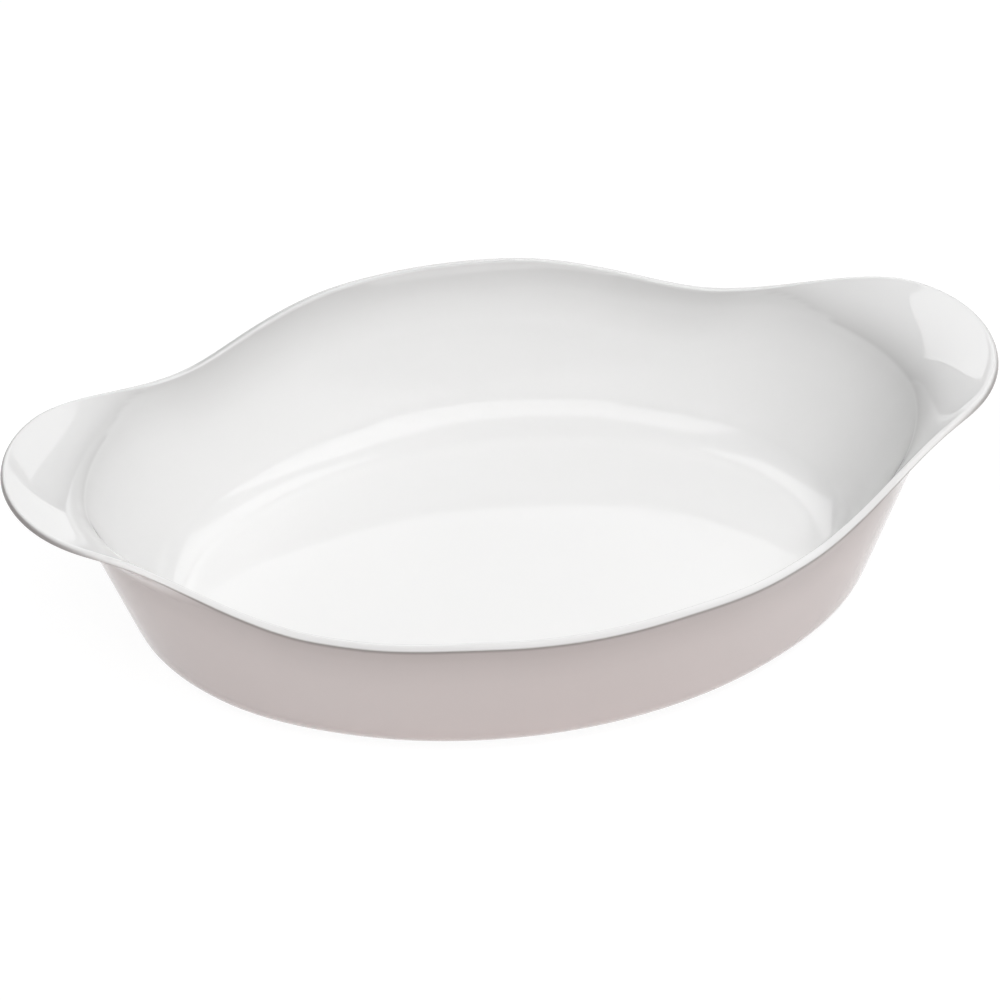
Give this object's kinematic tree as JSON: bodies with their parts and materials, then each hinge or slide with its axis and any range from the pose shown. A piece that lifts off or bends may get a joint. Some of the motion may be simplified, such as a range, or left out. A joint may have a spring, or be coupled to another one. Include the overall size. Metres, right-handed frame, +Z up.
{
  "type": "oval roasting dish",
  "caption": "White opal-glass oval roasting dish with outward-leaning walls, a thin flared rim that dips beside each end, and wing-shaped integral handles at both ends.",
  "frame": {"origin": "on the table under the middle of the dish, in the plane of the foot ring", "axes": "+X along the two handles, +Y across the dish towards the back long side, +Z up out of the open top"},
  "size_m": [0.32, 0.2, 0.0695],
  "materials": {
    "opal_glass": "opaque white, fire-polished gloss"
  },
  "bodies": {
    "root": {"floor": "opal_glass", "wall": "opal_glass", "front_rim": "opal_glass", "back_rim": "opal_glass", "left_handle": "opal_glass", "right_handle": "opal_glass"}
  },
  "joints": []
}
